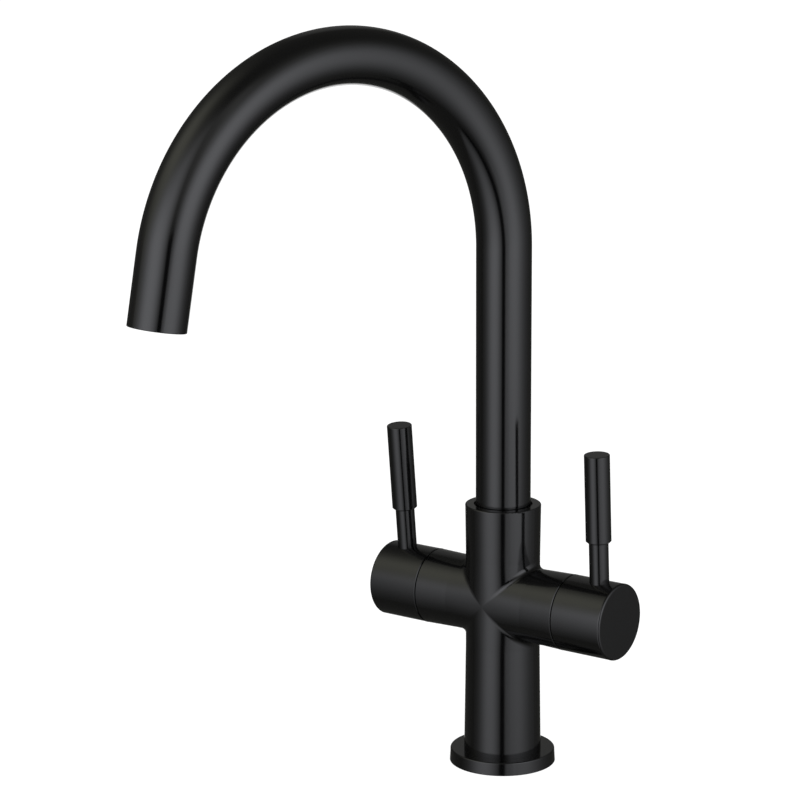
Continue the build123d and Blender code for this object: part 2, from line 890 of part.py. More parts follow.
def make_lever_stem(side, lean):
    """Turned rod with a threaded end in the hub and a tang in the grip."""
    with BuildPart() as lever_stem:
        with BuildSketch(lever_section(side, lean)):
            with BuildLine():
                Polyline(
                    (0, lever_thread_start),
                    (lever_thread_radius, lever_thread_start),
                    (lever_thread_radius, lever_seat),
                    (stem_radius, lever_seat),
                    (stem_radius, grip_start),
                    (lever_thread_radius, grip_start),
                    (lever_thread_radius, lever_tang_end),
                    (0, lever_tang_end),
                    close=True,
                )
            make_face()
        revolve(axis=lever_axis(side, lean))
    return lever_stem


def make_lever_grip(side, lean):
    """Thicker sleeve with a closed top, pushed over the stem's tang."""
    with BuildPart() as lever_grip:
        with BuildSketch(lever_section(side, lean)):
            with BuildLine():
                Polyline(
                    (lever_thread_radius, grip_start),
                    (grip_radius, grip_start),
                    (grip_radius, lever_length),
                    (0, lever_length),
                    (0, lever_tang_end + lever_tang_room),
                    (lever_thread_radius, lever_tang_end + lever_tang_room),
                    close=True,
                )
            make_face()
        revolve(axis=lever_axis(side, lean))
        rings = lever_grip.edges().group_by(lever_axis(side, lean))
        fillet(rings[-1], grip_rounding)
        chamfer(rings[0].sort_by(SortBy.RADIUS)[-1], grip_chamfer)
    return lever_grip


def make_hub_screw(side, lean):
    """Socket screw that clamps the hub onto its bush from below."""
    with BuildPart() as hub_screw:
        with BuildSketch(across_lever(side, lean, -spline_bush_radius)):
            Circle(hub_screw_radius)
        extrude(amount=-hub_screw_length)
        with BuildSketch(across_lever(side, lean, -spline_bush_radius - hub_screw_length)):
            RegularPolygon(hub_screw_socket_across / 2, 6, major_radius=False)
        extrude(amount=hub_screw_socket_depth, mode=Mode.SUBTRACT)
    return hub_screw


for side_name, side in sides.items():
    lean = leans[side_name]
    save(make_seat_seal(side), f"{side_name}_seat_seal")
    save(make_fixed_disc(side), f"{side_name}_fixed_disc")
    save(make_moving_disc(side), f"{side_name}_moving_disc")
    save(make_headwork_body(side), f"{side_name}_headwork_body")
    save(make_headwork_o_ring(side), f"{side_name}_headwork_o_ring")
    save(make_spindle(side), f"{side_name}_spindle")
    save(make_spindle_o_rings(side), f"{side_name}_spindle_o_rings")
    save(make_spindle_clip(side), f"{side_name}_spindle_clip")
    save(make_spline_bush(side), f"{side_name}_spline_bush")
    save(make_seam_ring(side), f"{side_name}_seam_ring")
    save(make_hub(side, lean), f"{side_name}_hub")
    save(make_lever_stem(side, lean), f"{side_name}_lever_stem")
    save(make_lever_grip(side, lean), f"{side_name}_lever_grip")
    save(make_hub_screw(side, lean), f"{side_name}_hub_screw")
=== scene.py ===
import math

import bmesh
import bpy
from mathutils import Matrix, Vector


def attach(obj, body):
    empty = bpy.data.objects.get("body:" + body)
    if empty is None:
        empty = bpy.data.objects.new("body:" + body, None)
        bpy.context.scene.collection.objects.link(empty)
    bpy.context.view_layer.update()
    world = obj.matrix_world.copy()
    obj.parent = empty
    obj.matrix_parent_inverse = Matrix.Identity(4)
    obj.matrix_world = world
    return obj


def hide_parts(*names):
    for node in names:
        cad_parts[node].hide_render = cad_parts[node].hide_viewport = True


# The looks of a two-handle vessel faucet in satin black. Metres, +Z up, in the frame of the
# solids: the origin is the centre of the underside, the arms lie along X, and the user
# stands at -Y. The casting and the two hubs keep their solids and get a finish of their
# own. Every other piece that shows is turned or bent here.

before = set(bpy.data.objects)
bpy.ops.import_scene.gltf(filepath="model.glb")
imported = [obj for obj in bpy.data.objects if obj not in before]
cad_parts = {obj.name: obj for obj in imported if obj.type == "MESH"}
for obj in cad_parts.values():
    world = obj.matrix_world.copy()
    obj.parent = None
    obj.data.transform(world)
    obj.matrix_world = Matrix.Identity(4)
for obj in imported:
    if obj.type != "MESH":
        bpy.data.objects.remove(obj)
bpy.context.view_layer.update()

mm = 0.001

# Driving sizes of the spout, the same as those of the solids
tube_radius = 13.0 * mm
tube_wall = 1.2 * mm
bore_radius = tube_radius - tube_wall
spout_foot = 114.0 * mm
bend_height = 249.5 * mm
bend_radius = 94.8 * mm
bend_angle = math.radians(169.6)
tail_length = 32.0 * mm
swivel_angle = math.radians(14.6)

# Driving sizes of the foot, the collar, the arms and the levers
base_ring_radius = 25.3 * mm
base_ring_height = 6.3 * mm
base_ring_bore = 16.1 * mm
collar_top = 126.8 * mm
lock_height = 108.0 * mm
arm_height = 79.9 * mm
seam_reach = 38.9 * mm
lever_reach = 55.0 * mm
lever_seat = 16.3 * mm
grip_start = 37.4 * mm
lever_length = 79.3 * mm
grip_radius = 6.0 * mm
stem_radius = 4.6 * mm
sides = {"left": -1, "right": 1}
leans = {"left": math.radians(5.8), "right": math.radians(3.1)}

# How finely round pieces are turned, the corners up to which they look smooth, the distance
# below which two points are one, and how far a cutting shape reaches past what it cuts
fine_steps = 128
small_steps = 64
smooth_below = math.radians(35)
merge_below = 0.002 * mm
overshoot = 1.0 * mm

# The record's material slots that several kinds of piece take
coated = "black_finish"
plastic = "sliding_plastic"


# Handling of pieces


def deselect_everything():
    """Leaves edit mode and selects nothing, because loading leaves the solids selected."""
    if bpy.context.mode != "OBJECT":
        bpy.ops.object.mode_set(mode="OBJECT")
    bpy.ops.object.select_all(action="DESELECT")


def pick(piece):
    """Makes a piece the only one selected."""
    deselect_everything()
    piece.select_set(True)
    bpy.context.view_layer.objects.active = piece


def settle(piece, place):
    """Puts a piece in its place, keeps the place in its mesh, and smooths its round faces."""
    pick(piece)
    piece.matrix_world = place
    bpy.ops.object.transform_apply(location=True, rotation=True, scale=True)
    bpy.ops.object.shade_smooth_by_angle(angle=smooth_below)
    weigh = piece.modifiers.new("even_shading", "WEIGHTED_NORMAL")
    weigh.keep_sharp = True
    bpy.ops.object.modifier_apply(modifier=weigh.name)


def close_up(piece):
    """Merges doubled vertices and turns every face outwards."""
    pick(piece)
    bpy.ops.object.mode_set(mode="EDIT")
    bpy.ops.mesh.select_all(action="SELECT")
    bpy.ops.mesh.remove_doubles(threshold=merge_below)
    bpy.ops.mesh.normals_make_consistent(inside=False)
    bpy.ops.object.mode_set(mode="OBJECT")


def select_vertices(piece, wanted):
    """Selects, in edit mode, the vertices whose place passes a test."""
    bpy.ops.mesh.select_mode(type="VERT")
    bpy.ops.mesh.select_all(action="DESELECT")
    mesh = bmesh.from_edit_mesh(piece.data)
    for vertex in mesh.verts:
        vertex.select = wanted(vertex.co)
    mesh.select_flush_mode()
    bmesh.update_edit_mesh(piece.data)


def turned(name, outline, corners=(), steps=fine_steps):
    """Turns an outline of (radius, height) points round Z, as on a lathe.

    An outline that starts on the axis ends there too, and any other one is closed. Each
    corner is (index of the point, size, segments): one segment breaks it, more round it.
    """
    deselect_everything()
    bpy.ops.mesh.primitive_plane_add(size=mm)
    piece = bpy.context.object
    piece.name = name
    bpy.ops.object.mode_set(mode="EDIT")
    bpy.ops.mesh.merge(type="CENTER")
    points = [Vector((radius, 0, height)) for radius, height in outline]
    bpy.ops.transform.translate(value=points[0])
    closed = outline[0][0] > 0
    for before, after in zip(points, points[1:] + points[:1] * closed):
        bpy.ops.mesh.extrude_vertices_move(TRANSFORM_OT_translate={"value": after - before})
    bpy.ops.mesh.select_all(action="SELECT")
    bpy.ops.mesh.remove_doubles(threshold=merge_below)
    for index, size, segments in corners:
        corner = points[index]
        select_vertices(piece, lambda place: (place - corner).length < merge_below)
        bpy.ops.mesh.bevel(offset=size, segments=segments, affect="VERTICES")
    bpy.ops.mesh.select_all(action="SELECT")
    bpy.ops.mesh.remove_doubles(threshold=merge_below)
    bpy.ops.mesh.select_all(action="SELECT")
    bpy.ops.mesh.spin(steps=steps, angle=2 * math.pi, center=(0, 0, 0), axis=(0, 0, 1))
    bpy.ops.object.mode_set(mode="OBJECT")
    close_up(piece)
    return piece


def joined(name, pieces):
    """Makes one piece of several."""
    pick(pieces[0])
    for piece in pieces[1:]:
        piece.select_set(True)
    if len(pieces) > 1:
        bpy.ops.object.join()
    pieces[0].name = name
    return pieces[0]


def copied(piece, step):
    """A copy of a piece with a mesh of its own, a step away."""
    twin = piece.copy()
    twin.data = piece.data.copy()
    bpy.context.scene.collection.objects.link(twin)
    twin.matrix_world = Matrix.Translation(step) @ piece.matrix_world
    return twin


def cut(piece, cutter):
    """Cuts a second shape out of a piece and throws the second shape away."""
    pick(piece)
    knife = piece.modifiers.new("cut", "BOOLEAN")
    knife.operation = "DIFFERENCE"
    knife.solver = "EXACT"
    knife.object = cutter
    bpy.ops.object.modifier_apply(modifier=knife.name)
    bpy.data.objects.remove(cutter)


def six_sided_bar(across, start, end, middle=(0, 0)):
    """A bar of six sides along Z, with a corner on +X, for sockets."""
    deselect_everything()
    bpy.ops.mesh.primitive_cylinder_add(
        vertices=6,
        radius=across / math.sqrt(3),
        depth=end - start,
        location=(middle[0], middle[1], (start + end) / 2),
        rotation=(0, 0, math.pi / 6),
    )
    return bpy.context.object


# Places of the turned pieces: each turns +Z along an axis of the faucet


def on_arm(side):
    """Outwards along an arm, from the column's axis."""
    return Matrix.Translation((0, 0, arm_height)) @ Matrix.Rotation(side * math.pi / 2, 4, "Y")


def on_lever(side, lean):
    """Up along a lever, from the arm's axis."""
    foot = Vector((side * lever_reach, 0, arm_height))
    return Matrix.Translation(foot) @ Matrix.Rotation(lean, 4, "X")


def under_hub(side, lean):
    """Down along the clamp screw, from the arm's axis."""
    return on_lever(side, lean) @ Matrix.Rotation(math.pi, 4, "X")


def on_collar_back():
    """Out of the back of the collar, along the lock screw."""
    return Matrix.Translation((0, 0, lock_height)) @ Matrix.Rotation(-math.pi / 2, 4, "X")


def in_outlet():
    """Up into the spout, from the middle of its outlet."""
    rest = math.pi - bend_angle
    reach = bend_radius * (1 + math.cos(rest)) + tail_length * math.sin(rest)
    height = bend_height + bend_radius * math.sin(rest) - tail_length * math.cos(rest)
    swivel = Matrix.Rotation(-swivel_angle, 4, "Z")
    return swivel @ Matrix.Translation((0, -reach, height)) @ Matrix.Rotation(-rest, 4, "X")


on_column = Matrix.Identity(4)


# Wiring of materials


def feed(tree, socket, value):
    """Links an input to an output, or sets it to a plain value."""
    if isinstance(value, bpy.types.NodeSocket):
        tree.links.new(value, socket)
    else:
        socket.default_value = value


def calculate(tree, operation, *values):
    node = tree.nodes.new("ShaderNodeMath")
    node.operation = operation
    for socket, value in zip(node.inputs, values):
        feed(tree, socket, value)
    return node.outputs["Value"]


def ranged(tree, value, low, high, out_low=0.0, out_high=1.0):
    """Turns a value between two limits into another one between two others."""
    node = tree.nodes.new("ShaderNodeMapRange")
    feed(tree, node.inputs["Value"], value)
    node.inputs["From Min"].default_value = low
    node.inputs["From Max"].default_value = high
    feed(tree, node.inputs["To Min"], out_low)
    feed(tree, node.inputs["To Max"], out_high)
    return node.outputs["Result"]


def blended(tree, share, first, second, kind="RGBA", mode="MIX"):
    """Mixes two colours or two values; a share of 1 is all of the second."""
    node = tree.nodes.new("ShaderNodeMix")
    node.data_type = kind
    if kind == "RGBA":
        node.blend_type = mode
    # The node has a pair of inputs and an output for each kind, under the same names
    input_a, input_b, output = {"RGBA": (6, 7, 2), "FLOAT": (2, 3, 0)}[kind]
    feed(tree, node.inputs["Factor"], share)
    feed(tree, node.inputs[input_a], first)
    feed(tree, node.inputs[input_b], second)
    return node.outputs[output]


def noise(tree, vector, scale, detail=2.0):
    node = tree.nodes.new("ShaderNodeTexNoise")
    feed(tree, node.inputs["Vector"], vector)
    feed(tree, node.inputs["Scale"], scale)
    node.inputs["Detail"].default_value = detail
    return node.outputs["Fac"]


def speckle(tree, vector, size, detail):
    """Noise with spots of about a size, in metres."""
    return noise(tree, vector, calculate(tree, "DIVIDE", 1, size), detail)


def new_group(name, inputs, outputs):
    """An empty node group with named sockets: inputs are (name, kind, value)."""
    group = bpy.data.node_groups.new(name, "ShaderNodeTree")
    for socket, kind, value in inputs:
        made = group.interface.new_socket(socket, in_out="INPUT", socket_type=kind)
        if value is not None:
            made.default_value = value
    for socket in outputs:
        group.interface.new_socket(socket, in_out="OUTPUT", socket_type="NodeSocketFloat")
    given = group.nodes.new("NodeGroupInput").outputs
    made = group.nodes.new("NodeGroupOutput").inputs
    return group, given, made


def use_group(tree, group, **values):
    """Places a group and feeds its inputs; an underscore stands for a space."""
    node = tree.nodes.new("ShaderNodeGroup")
    node.node_tree = group
    for name, value in values.items():
        feed(tree, node.inputs[name.replace("_", " ")], value)
    return node.outputs


def make_axis_distance():
    """How far a point is from the Z axis, and how far along it."""
    vector = ("Vector", "NodeSocketVector", None)
    group, given, made = new_group("axis_distance", [vector], ["Radius", "Along"])
    flat = group.nodes.new("ShaderNodeVectorMath")
    flat.operation = "MULTIPLY"
    flat.inputs[1].default_value = (1, 1, 0)
    feed(group, flat.inputs[0], given["Vector"])
    length = group.nodes.new("ShaderNodeVectorMath")
    length.operation = "LENGTH"
    feed(group, length.inputs[0], flat.outputs["Vector"])
    split = group.nodes.new("ShaderNodeSeparateXYZ")
    feed(group, split.inputs["Vector"], given["Vector"])
    feed(group, made["Radius"], length.outputs["Value"])
    feed(group, made["Along"], split.outputs["Z"])
    return group


def make_coat_ripple():
    """The soft ripple of a sprayed coat, with a much finer grain on it."""
    inputs = [
        ("Vector", "NodeSocketVector", None),
        ("Ripple Size", "NodeSocketFloat", 2.4 * mm),
        ("Grain Size", "NodeSocketFloat", 0.35 * mm),
        ("Grain Share", "NodeSocketFloat", 0.15),
    ]
    group, given, made = new_group("coat_ripple", inputs, ["Height"])
    ripple = speckle(group, given["Vector"], given["Ripple Size"], detail=1)
    grain = speckle(group, given["Vector"], given["Grain Size"], detail=3)
    feed(group, made["Height"], blended(group, given["Grain Share"], ripple, grain, "FLOAT"))
    return group


def make_patches():
    """Soft patches between a low and a high value, as handling and drying leave them."""
    inputs = [
        ("Vector", "NodeSocketVector", None),
        ("Patch Size", "NodeSocketFloat", 14 * mm),
        ("Low", "NodeSocketFloat", 0.0),
        ("High", "NodeSocketFloat", 1.0),
    ]
    group, given, made = new_group("patches", inputs, ["Value"])
    cloud = speckle(group, given["Vector"], given["Patch Size"], detail=4)
    feed(group, made["Value"], ranged(group, cloud, 0.3, 0.7, given["Low"], given["High"]))
    return group


def make_turning_lines():
    """Fine tool lines round the Z axis, on round faces and on flat ones."""
    inputs = [("Vector", "NodeSocketVector", None), ("Pitch", "NodeSocketFloat", 0.12 * mm)]
    group, given, made = new_group("turning_lines", inputs, ["Height", "Tone"])
    place = use_group(group, axis_distance, Vector=given["Vector"])
    lines = []
    for coordinate in (place["Radius"], place["Along"]):
        line = group.nodes.new("ShaderNodeTexNoise")
        line.noise_dimensions = "1D"
        line.inputs["Scale"].default_value = 1
        line.inputs["Detail"].default_value = 2
        feed(group, line.inputs["W"], calculate(group, "DIVIDE", coordinate, given["Pitch"]))
        lines.append(line.outputs["Fac"])
    height = calculate(group, "ADD", *lines)
    feed(group, made["Height"], height)
    feed(group, made["Tone"], ranged(group, height, 0.7, 1.3))
    return group


axis_distance = make_axis_distance()
coat_ripple = make_coat_ripple()
patches = make_patches()
turning_lines = make_turning_lines()


def new_material(name):
    """A material with its tree, its shader and the coordinates of the piece itself."""
    material = bpy.data.materials.new(name)
    material.use_nodes = True
    tree = material.node_tree
    coordinates = tree.nodes.new("ShaderNodeTexCoord")
    return material, tree, tree.nodes["Principled BSDF"], coordinates.outputs["Object"]


def centred_on(tree, vector, place):
    """The coordinates as they are on a turned piece before it is put in its place."""
    back = place.inverted()
    node = tree.nodes.new("ShaderNodeMapping")
    node.inputs["Location"].default_value = back.to_translation()
    node.inputs["Rotation"].default_value = back.to_euler()
    feed(tree, node.inputs["Vector"], vector)
    return node.outputs["Vector"]


def raised(tree, height, depth):
    """A normal that follows a height, which is worth so much depth at 1."""
    bump = tree.nodes.new("ShaderNodeBump")
    bump.inputs["Strength"].default_value = 1
    bump.inputs["Distance"].default_value = depth
    feed(tree, bump.inputs["Height"], height)
    return bump.outputs["Normal"]


# Finishes: each gives colour, roughness and height, for a material or for a part of one.
# A height of 1 is worth the coat's depth, and the index is that of the coat's gloss.

coat_depth = 0.004 * mm
coat_index = 1.8


def coat_finish(tree, vector):
    """Baked satin black coat over polished metal."""
    tone = use_group(tree, patches, Vector=vector, Patch_Size=22 * mm)["Value"]
    colour = blended(tree, tone, (0.0021, 0.0021, 0.0022, 1), (0.0029, 0.0029, 0.0030, 1))
    rough = use_group(tree, patches, Vector=vector, Patch_Size=9 * mm, Low=0.118, High=0.136)
    return colour, rough["Value"], use_group(tree, coat_ripple, Vector=vector)["Height"]


def brass_finish(tree, vector):
    """Turned brass, a little browner where it was handled."""
    lines = use_group(tree, turning_lines, Vector=vector)
    stain = use_group(tree, patches, Vector=vector, Patch_Size=7 * mm, Low=0.0, High=0.5)
    bright = blended(tree, lines["Tone"], (0.74, 0.56, 0.27, 1), (0.82, 0.65, 0.35, 1))
    colour = blended(tree, stain["Value"], bright, (0.56, 0.39, 0.18, 1))
    rough = use_group(tree, patches, Vector=vector, Patch_Size=4 * mm, Low=0.24, High=0.36)
    return colour, rough["Value"], lines["Height"]


def fill_in(tree, shader, finish, depth):
    colour, rough, height = finish
    feed(tree, shader.inputs["Base Color"], colour)
    feed(tree, shader.inputs["Roughness"], rough)
    feed(tree, shader.inputs["Normal"], raised(tree, height, depth))


def make_satin_black():
    material, tree, shader, vector = new_material("satin_black")
    shader.inputs["IOR"].default_value = coat_index
    fill_in(tree, shader, coat_finish(tree, vector), coat_depth)
    return material


def make_coated_brass(name, place, coat_mask):
    """Satin black outside and bare turned brass in the bores, told apart by a mask."""
    material, tree, shader, vector = new_material(name)
    shader.inputs["IOR"].default_value = coat_index
    mask = coat_mask(tree, vector)
    coat = coat_finish(tree, vector)
    brass = brass_finish(tree, centred_on(tree, vector, place))
    mixed = (
        blended(tree, mask, brass[0], coat[0]),
        blended(tree, mask, brass[1], coat[1], "FLOAT"),
        blended(tree, mask, brass[2], coat[2], "FLOAT"),
    )
    fill_in(tree, shader, mixed, coat_depth)
    feed(tree, shader.inputs["Metallic"], calculate(tree, "SUBTRACT", 1, mask))
    return material


def beyond(tree, value, limit):
    """Is 1 beyond a limit and 0 below it, with a narrow crossing between."""
    half_crossing = 0.025 * mm
    return ranged(tree, value, limit - half_crossing, limit + half_crossing)


def casting_coat(tree, vector):
    """The casting is coated outside the column and the arms, and in the collar's mouth."""
    bare_radius, mouth_depth = 17.25 * mm, 1.2 * mm
    column = use_group(tree, axis_distance, Vector=vector)
    arm = use_group(tree, axis_distance, Vector=centred_on(tree, vector, on_arm(1)))
    outside = calculate(tree, "MINIMUM", column["Radius"], arm["Radius"])
    outer_coat = beyond(tree, outside, bare_radius)
    mouth_coat = beyond(tree, column["Along"], collar_top - mouth_depth)
    return calculate(tree, "MAXIMUM", outer_coat, mouth_coat)


def hub_coat(tree, vector):
    """A hub is coated outside its cavity and over its closed end."""
    cavity_radius, cavity_end = 13.95 * mm, 61.5 * mm
    arm = use_group(tree, axis_distance, Vector=centred_on(tree, vector, on_arm(1)))
    end_coat = beyond(tree, calculate(tree, "ABSOLUTE", arm["Along"]), cavity_end)
    return calculate(tree, "MAXIMUM", beyond(tree, arm["Radius"], cavity_radius), end_coat)


def make_turned_brass(name, place):
    material, tree, shader, vector = new_material(name)
    shader.inputs["Metallic"].default_value = 1
    fill_in(tree, shader, brass_finish(tree, centred_on(tree, vector, place)), coat_depth)
    return material


def make_plain(name, dark, light, smooth, rough, patch, grain, depth, metal=0.0):
    """A moulded, pressed or blackened surface: two tones, a range of roughness and a grain."""
    material, tree, shader, vector = new_material(name)
    shader.inputs["Metallic"].default_value = metal
    tone = use_group(tree, patches, Vector=vector, Patch_Size=patch)["Value"]
    sheen = use_group(
        tree, patches, Vector=vector, Patch_Size=patch / 3, Low=smooth, High=rough
    )
    height = use_group(
        tree, coat_ripple, Vector=vector, Ripple_Size=4 * grain, Grain_Size=grain, Grain_Share=0.6
    )
    colour = blended(tree, tone, (*dark, 1), (*light, 1))
    fill_in(tree, shader, (colour, sheen["Value"], height["Height"]), depth)
    return material


def make_spring_steel():
    """Stamped from rolled strip, with the rolling lines still on it."""
    stretched, lines_per_metre = 0.04, 6000
    material, tree, shader, vector = new_material("spring_steel")
    shader.inputs["Metallic"].default_value = 1
    stretch = tree.nodes.new("ShaderNodeMapping")
    stretch.inputs["Scale"].default_value = (1, stretched, 1)
    feed(tree, stretch.inputs["Vector"], vector)
    rolled = noise(tree, stretch.outputs["Vector"], lines_per_metre)
    colour = blended(tree, rolled, (0.50, 0.51, 0.53, 1), (0.68, 0.69, 0.70, 1))
    sheen = use_group(tree, patches, Vector=vector, Patch_Size=2 * mm, Low=0.24, High=0.38)
    fill_in(tree, shader, (colour, sheen["Value"], rolled), 0.003 * mm)
    return material


satin_black = make_satin_black()
casting_finish = make_coated_brass("coated_casting", on_column, casting_coat)
hub_finish = make_coated_brass("coated_hub", on_arm(1), hub_coat)
column_brass = make_turned_brass("brass_round_column", on_column)
arm_brass = make_turned_brass("brass_round_arm", on_arm(1))
outlet_brass = make_turned_brass("brass_round_outlet", in_outlet())
soft_rubber = make_plain(
    "black_rubber",
    dark=(0.010, 0.010, 0.010),
    light=(0.022, 0.022, 0.021),
    smooth=0.5,
    rough=0.72,
    patch=5 * mm,
    grain=0.12 * mm,
    depth=0.012 * mm,
)
black_acetal = make_plain(
    "black_acetal",
    dark=(0.008, 0.008, 0.009),
    light=(0.014, 0.014, 0.015),
    smooth=0.3,
    rough=0.44,
    patch=6 * mm,
    grain=0.2 * mm,
    depth=0.006 * mm,
)
grey_acetal = make_plain(
    "grey_acetal",
    dark=(0.60, 0.62, 0.64),
    light=(0.74, 0.76, 0.78),
    smooth=0.32,
    rough=0.48,
    patch=6 * mm,
    grain=0.2 * mm,
    depth=0.006 * mm,
)
white_ceramic = make_plain(
    "lapped_ceramic",
    dark=(0.80, 0.79, 0.75),
    light=(0.90, 0.89, 0.86),
    smooth=0.08,
    rough=0.16,
    patch=3 * mm,
    grain=0.08 * mm,
    depth=0.001 * mm,
)
oxide_steel = make_plain(
    "black_oxide_steel",
    dark=(0.020, 0.020, 0.022),
    light=(0.055, 0.054, 0.053),
    smooth=0.3,
    rough=0.5,
    patch=2 * mm,
    grain=0.15 * mm,
    depth=0.006 * mm,
    metal=0.8,
)
spring_steel = make_spring_steel()


def finish_piece(piece, place, node, body, slot, *materials):
    """Settles a piece, gives it its finish, and lets it ride and stand for its solid."""
    settle(piece, place)
    piece.data.materials.clear()
    for material in materials:
        piece.data.materials.append(material)
    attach(piece, body)
    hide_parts(node)


# Spout tube: a ring at the foot, drawn up, spun round the bend and drawn on to the outlet


def make_swan_neck():
    rim_rounding, rim_steps, rim_corner = 0.3 * mm, 3, math.radians(60)
    deselect_everything()
    bpy.ops.mesh.primitive_circle_add(
        vertices=fine_steps, radius=tube_radius, location=(0, 0, spout_foot)
    )
    piece = bpy.context.object
    piece.name = "swan_neck"
    bpy.ops.object.transform_apply(location=True, rotation=True, scale=True)
    bpy.ops.object.mode_set(mode="EDIT")
    bpy.ops.mesh.select_all(action="SELECT")
    rise = Vector((0, 0, bend_height - spout_foot))
    bpy.ops.mesh.extrude_edges_move(TRANSFORM_OT_translate={"value": rise})
    bend_centre = Vector((0, -bend_radius, bend_height))
    bpy.ops.mesh.spin(steps=fine_steps, angle=bend_angle, center=bend_centre, axis=(-1, 0, 0))
    down = Vector((0, -math.sin(math.pi - bend_angle), -math.cos(math.pi - bend_angle)))
    bpy.ops.mesh.extrude_edges_move(TRANSFORM_OT_translate={"value": tail_length * down})
    close_up(piece)
    wall = piece.modifiers.new("wall", "SOLIDIFY")
    wall.thickness = tube_wall
    wall.offset = -1
    wall.material_offset = 1
    bpy.ops.object.modifier_apply(modifier=wall.name)
    rim = piece.modifiers.new("rim", "BEVEL")
    rim.width = rim_rounding
    rim.segments = rim_steps
    rim.limit_method = "ANGLE"
    rim.angle_limit = rim_corner
    bpy.ops.object.modifier_apply(modifier=rim.name)
    swivel = Matrix.Rotation(-swivel_angle, 4, "Z")
    finish_piece(piece, swivel, "spout_tube", "spout", coated, satin_black, outlet_brass)


make_swan_neck()


# Foot: the flanged ring, and the gasket that is let into its underside


def make_foot():
    draft = 0.35 * mm
    gasket_inner, gasket_outer, gasket_depth = 19.8 * mm, 23.2 * mm, 1.8 * mm
    flange = turned(
        "foot_flange",
        [
            (base_ring_bore, 0),
            (gasket_inner, 0),
            (gasket_inner, gasket_depth),
            (gasket_outer, gasket_depth),
            (gasket_outer, 0),
            (base_ring_radius, 0),
            (base_ring_radius - draft, base_ring_height),
            (base_ring_bore, base_ring_height),
        ],
        [
            (0, 0.3 * mm, 1),
            (1, 0.1 * mm, 1),
            (4, 0.1 * mm, 1),
            (5, 0.15 * mm, 2),
            (6, 0.6 * mm, 6),
        ],
        steps=2 * fine_steps,
    )
    finish_piece(flange, on_column, "base_ring", "body", coated, satin_black)
    gap, lip, groove, slope = 0.05 * mm, 0.9 * mm, 0.5 * mm, 0.2 * mm
    inner, outer = gasket_inner + gap, gasket_outer - gap
    gasket = turned(
        "foot_gasket",
        [
            (inner, 0),
            (gasket_inner + lip, 0),
            (gasket_inner + lip + slope, groove),
            (gasket_outer - lip - slope, groove),
            (gasket_outer - lip, 0),
            (outer, 0),
            (outer, gasket_depth),
            (inner, gasket_depth),
        ],
        [(index, 0.15 * mm, 3) for index in (0, 1, 4, 5)],
    )
    finish_piece(gasket, on_column, "base_gasket", "body", "rubber", soft_rubber)


make_foot()


# Collar: the sleeve that guides the tube, and the lock screw in the back


def make_collar_pieces():
    foot, top, gap, thickness = 115.5 * mm, 125.8 * mm, 0.05 * mm, 0.9 * mm
    inner, outer = tube_radius + gap, tube_radius + thickness
    guide = turned(
        "neck_guide",
        [(inner, foot), (outer, foot), (outer, top), (inner, top)],
        [(0, 0.2 * mm, 1), (1, 0.2 * mm, 1), (2, 0.2 * mm, 2), (3, 0.4 * mm, 3)],
    )
    finish_piece(guide, on_column, "collar_bush", "body", plastic, black_acetal)

    tip_radius, tip_start = 1.3 * mm, 10.6 * mm
    thread, thread_start, head = 2.0 * mm, 11.6 * mm, 16.6 * mm
    socket_across, socket_depth = 2.0 * mm, 2.0 * mm
    lock = turned(
        "collar_grub_screw",
        [
            (0, tip_start),
            (tip_radius, tip_start),
            (tip_radius, thread_start),
            (thread, thread_start),
            (thread, head),
            (0, head),
        ],
        [(1, 0.25 * mm, 2), (3, 0.3 * mm, 1), (4, 0.35 * mm, 3)],
        steps=small_steps,
    )
    cut(lock, six_sided_bar(socket_across, head - socket_depth, head + overshoot))
    finish_piece(lock, on_collar_back(), "spout_lock_screw", "body", "screw_steel", oxide_steel)


make_collar_pieces()


# Outlet: the threaded ring in the tube's end, and the aerator in it


